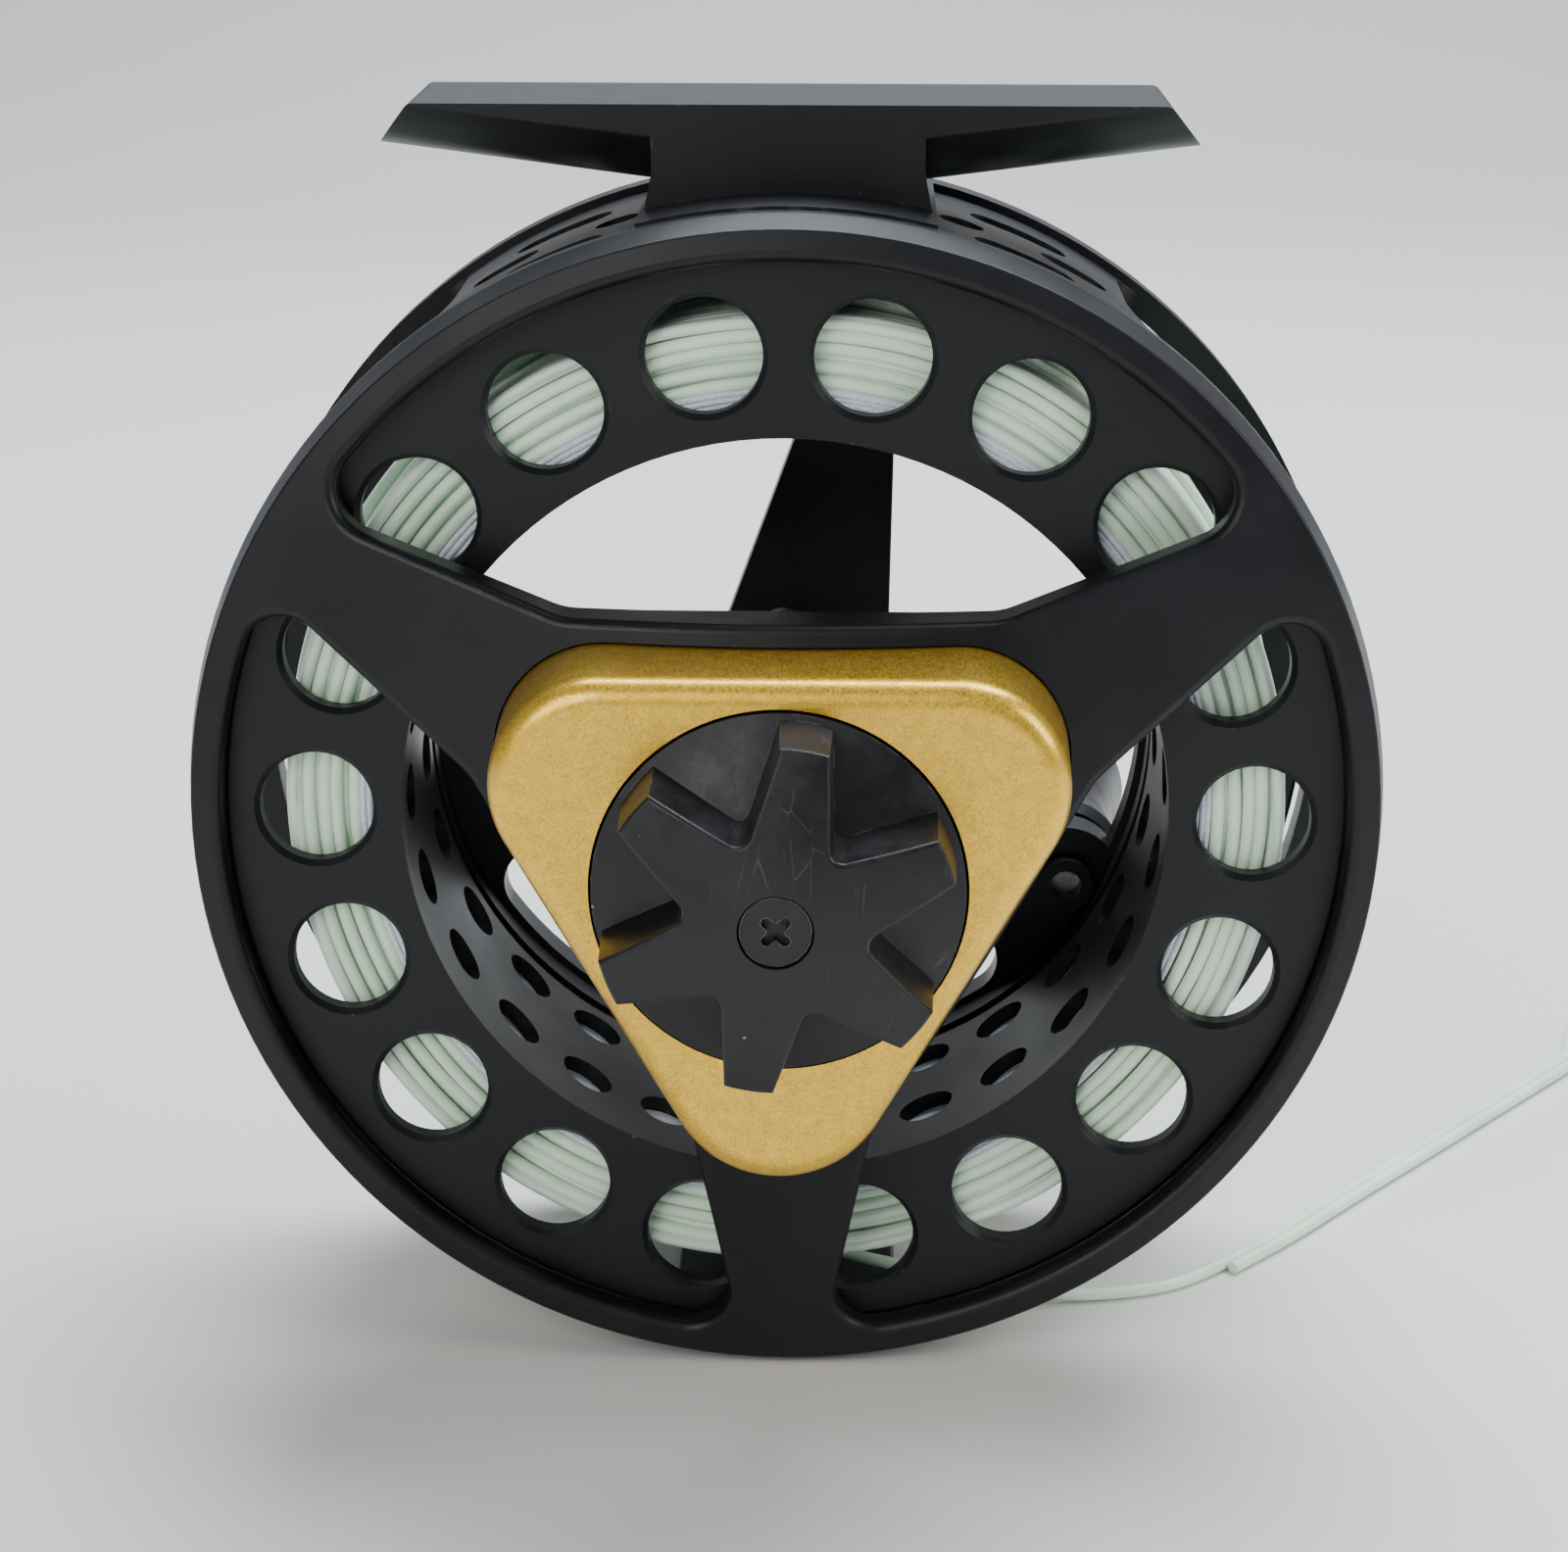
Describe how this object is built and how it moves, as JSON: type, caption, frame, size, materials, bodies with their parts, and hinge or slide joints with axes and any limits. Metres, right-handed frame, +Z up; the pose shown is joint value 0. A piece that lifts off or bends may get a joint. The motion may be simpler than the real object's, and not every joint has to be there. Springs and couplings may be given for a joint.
{
  "type": "fly fishing reel",
  "caption": "Large-arbor fly reel with a vented frame, star drag knob, gold cover, crank handle, wound line and a welded loop at its free end.",
  "frame": {"origin": "middle of the reel's footprint, on the surface its two rims stand on", "axes": "+Z up through the reel foot, +Y along the spindle towards the crank handle, the drag knob faces -Y"},
  "size_m": [0.128, 0.0956, 0.0944],
  "materials": {
    "black_anodised": "satin black anodised aluminium",
    "gold_paint": "gloss gold metallic paint with fine flake",
    "black_moulding": "moulded, slightly scuffed",
    "steel": "stainless, turned",
    "black_steel": "black oxide",
    "brass": "turned",
    "carbon": "woven carbon friction disc",
    "rubber": "smooth",
    "line_green": "pale green coated line",
    "backing_white": "braided backing"
  },
  "bodies": {
    "frame": {"frame": "black_anodised", "foot": "black_anodised", "foot_screws": "black_steel", "cover": "gold_paint", "cover_screws": "steel", "spindle": "steel", "spindle_nut": "steel", "knob_screw": "steel", "front_spring": "steel", "rear_spring": "steel", "steel_discs": "steel", "drag_housing": "black_anodised", "housing_screws": "steel", "lip_seal": "rubber", "pawl_pin": "steel", "pawl_spring": "steel", "free_line": "line_green", "doubled_line": "line_green", "line_loop": "line_green"},
    "knob": {"drag_knob": "black_moulding"},
    "adjuster": {"adjusting_nut": "brass"},
    "pressure": {"thrust_plate": "steel", "push_pins": "steel", "pressure_plate": "steel"},
    "drag_hub": {"drag_hub": "steel", "carbon_discs": "carbon"},
    "spool": {"spool": "black_anodised", "click_gear": "brass", "clutch_bearing": "steel", "front_bearing": "steel", "rear_bearing": "steel", "bearing_spacer": "black_moulding", "counterweight": "steel", "latch_spring": "steel", "latch_cap": "black_anodised", "latch_screws": "steel", "handle_post": "steel", "handle_washer": "black_moulding", "handle_screw": "steel", "backing": "backing_white", "line_winding": "line_green"},
    "latch": {"latch_plate": "steel"},
    "handle": {"handle_knob": "black_moulding"},
    "pawl": {"click_pawl": "black_moulding"}
  },
  "joints": [
    {"name": "knob_turn", "type": "hinge", "parent": "frame", "child": "knob", "pos_m": [0, -0.0299, 0.0439], "axis": [0, 1, 0], "range_deg": [-150, 150]},
    {"name": "adjuster_travel", "type": "slide", "parent": "knob", "child": "adjuster", "axis": [0, 1, 0], "range_m": [-0.0002917, 0.0002917]},
    {"name": "pressure_travel", "type": "slide", "parent": "frame", "child": "pressure", "axis": [0, 1, 0], "range_m": [-0.0002917, 0.0002917], "deforming": ["front_spring", "rear_spring"]},
    {"name": "drag_slip", "type": "hinge", "parent": "frame", "child": "drag_hub", "pos_m": [0, -0.0109, 0.0439], "axis": [0, 1, 0], "continuous": true},
    {"name": "spool_spin", "type": "hinge", "parent": "frame", "child": "spool", "pos_m": [0, 0.0011, 0.0439], "axis": [0, 1, 0], "continuous": true},
    {"name": "handle_spin", "type": "hinge", "parent": "spool", "child": "handle", "pos_m": [0.02234, 0.0271, 0.03021], "axis": [0, 1, 0], "continuous": true},
    {"name": "latch_press", "type": "slide", "parent": "spool", "child": "latch", "axis": [0.9426, 0, 0.3338], "range_m": [0, 0.0007], "stiffness_N_per_m": 1500, "springref_m": -0.001, "deforming": ["latch_spring"]},
    {"name": "pawl_rock", "type": "hinge", "parent": "frame", "child": "pawl", "pos_m": [0.0085, -0.0053, 0.02917], "axis": [0, 1, 0], "range_deg": [-8, 8], "stiffness_Nm_per_rad": 0.02, "deforming": ["pawl_spring"]}
  ],
  "couplings": [
    {"joint": "adjuster_travel", "follows": "knob_turn", "m_per_rad": 0.00011141},
    {"joint": "pressure_travel", "follows": "knob_turn", "m_per_rad": 0.00011141}
  ]
}
